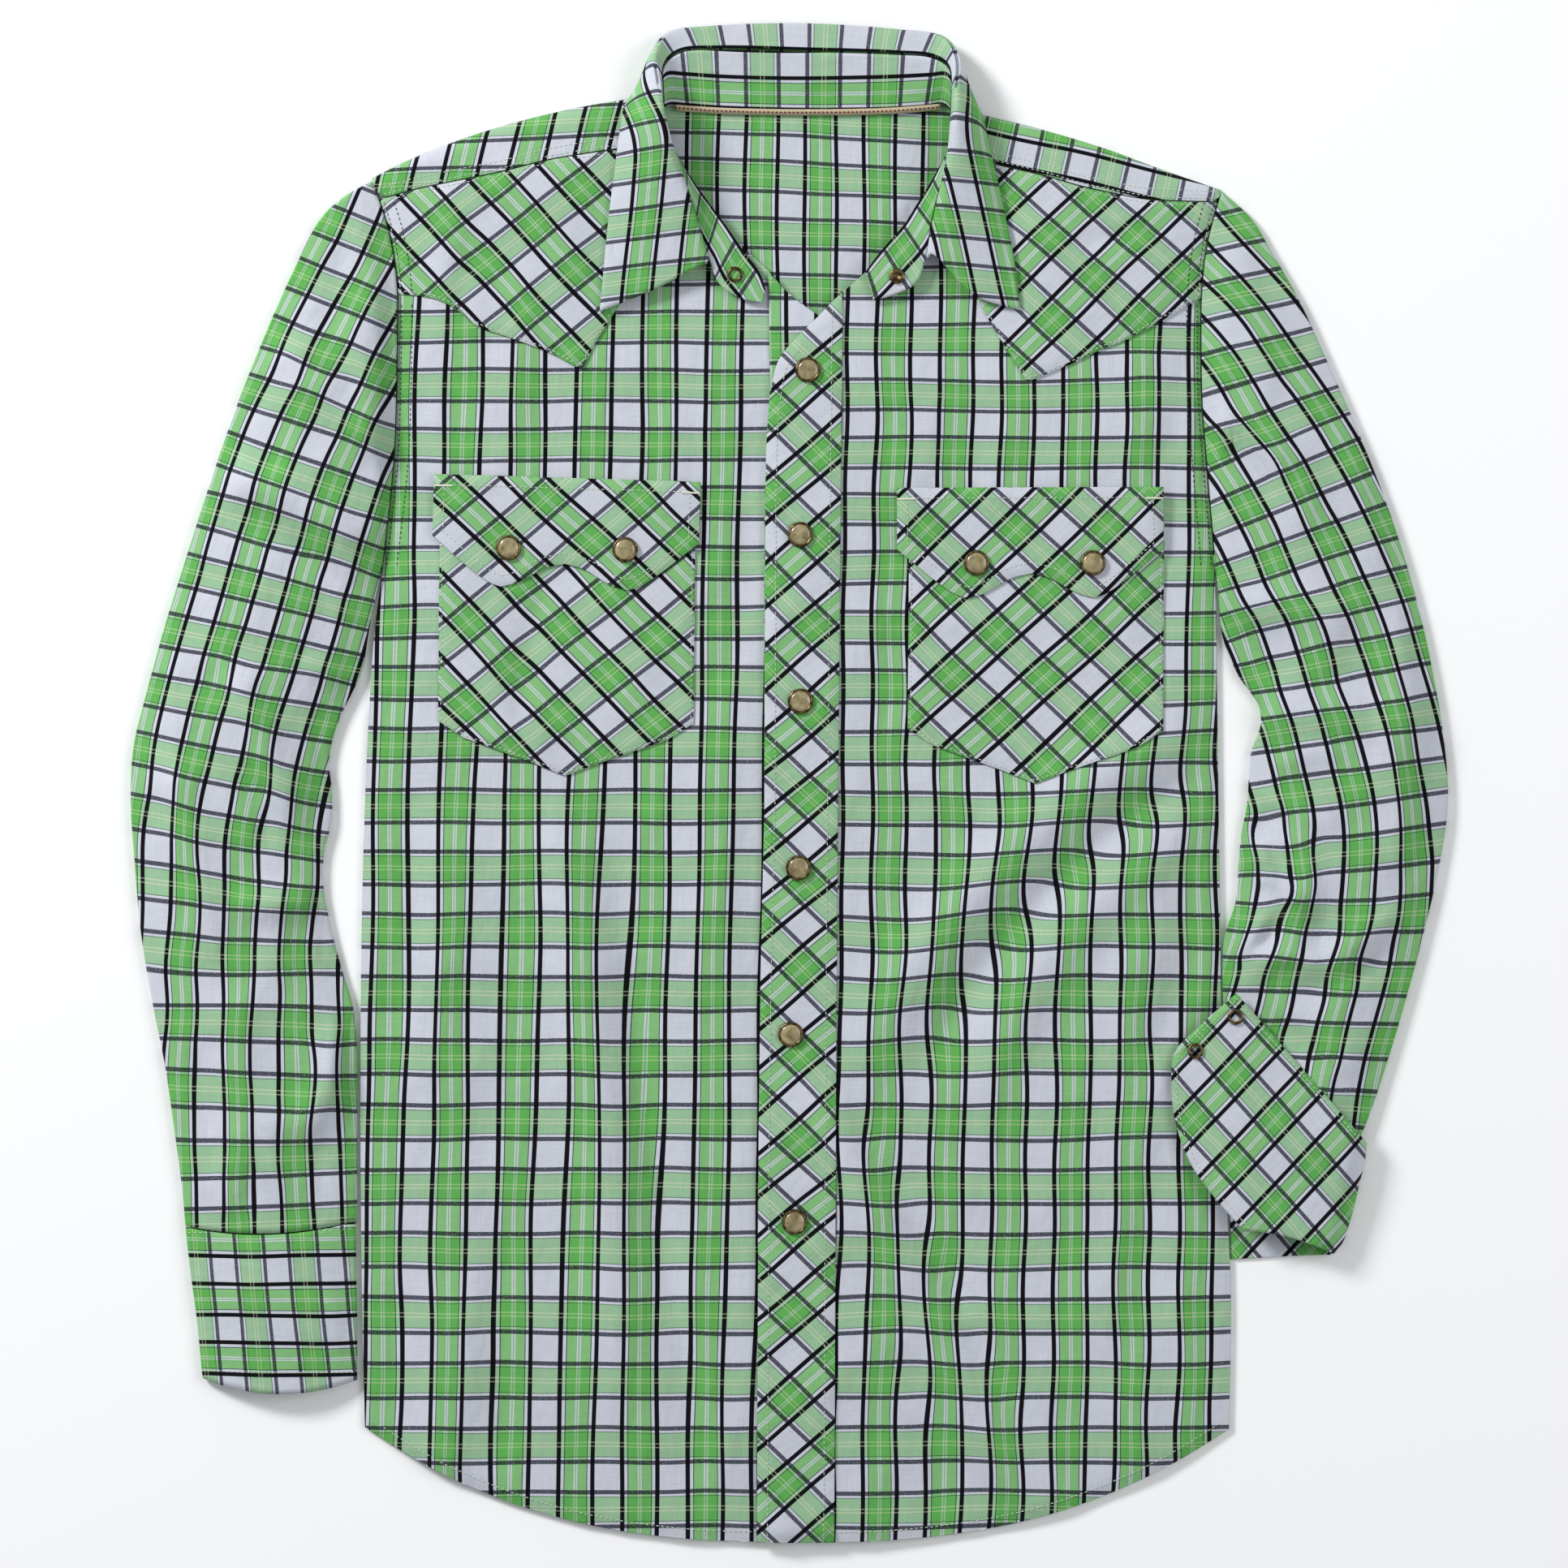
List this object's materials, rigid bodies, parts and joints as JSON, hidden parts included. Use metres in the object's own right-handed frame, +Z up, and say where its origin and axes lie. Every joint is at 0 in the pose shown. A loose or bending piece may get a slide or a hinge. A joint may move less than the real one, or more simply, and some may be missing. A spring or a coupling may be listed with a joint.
{
  "type": "western snap shirt",
  "caption": "Long-sleeved western shirt laid flat, with a point collar, pointed yokes, bias flap pockets, a snap placket, one snapped cuff and one cuff turned back.",
  "frame": {"origin": "on the surface that the shirt lies on, under the middle of its outline", "axes": "+Z up out of the front, +Y from the hem to the collar, +X to the right as seen from above (the wearer's left)"},
  "size_m": [0.6977, 0.8041, 0.0246],
  "materials": {
    "cloth": "woven cotton plaid in green, white and black",
    "snap_cap": "marbled tan pearl in a dark metal rim",
    "snap_metal": "antique brass"
  },
  "bodies": {
    "root": {"front_left": "cloth", "front_right": "cloth", "stud_band": "cloth", "placket": "cloth", "front_yoke_left": "cloth", "front_yoke_right": "cloth", "pocket_left": "cloth", "flap_left": "cloth", "pocket_right": "cloth", "flap_right": "cloth", "back_panel": "cloth", "back_yoke": "cloth", "sleeve_left": "cloth", "sleeve_right_upper": "cloth", "sleeve_right_lower": "cloth", "cuff_left": "cloth", "cuff_right": "cloth", "collar_stand": "cloth", "collar_leaf": "cloth", "snap_1": "snap_cap", "snap_2": "snap_cap", "snap_3": "snap_cap", "snap_4": "snap_cap", "snap_5": "snap_cap", "snap_6": "snap_cap", "flap_snap_left_1": "snap_cap", "flap_snap_left_2": "snap_cap", "flap_snap_right_1": "snap_cap", "flap_snap_right_2": "snap_cap", "collar_eyelet": "snap_metal", "collar_socket": "snap_metal", "cuff_eyelet_1": "snap_metal", "cuff_eyelet_2": "snap_metal"}
  },
  "joints": []
}
